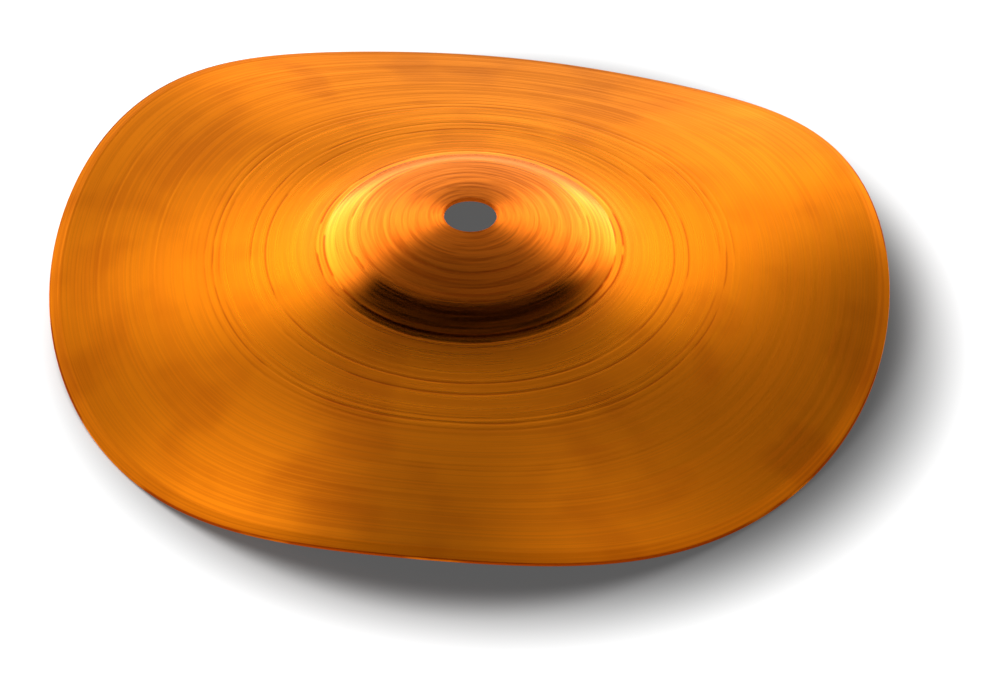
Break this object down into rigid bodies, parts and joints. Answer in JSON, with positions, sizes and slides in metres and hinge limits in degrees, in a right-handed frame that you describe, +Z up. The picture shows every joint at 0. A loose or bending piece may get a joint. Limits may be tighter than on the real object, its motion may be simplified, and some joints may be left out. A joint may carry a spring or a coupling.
{
  "type": "splash cymbal",
  "caption": "Small splash cymbal made of one bronze sheet, with a domed bell round its stand hole and a rim bent into a wave.",
  "frame": {"origin": "middle of the stand hole's wall, on the cymbal's axis", "axes": "+Z up along the hole's axis and out of the top of the bell; +X to the right and +Y away from the viewer of the picture"},
  "size_m": [0.2032, 0.2032, 0.0249],
  "materials": {
    "bronze": "lathed all over in fine rings and lacquered"
  },
  "bodies": {
    "root": {"cymbal": "bronze"}
  },
  "joints": []
}
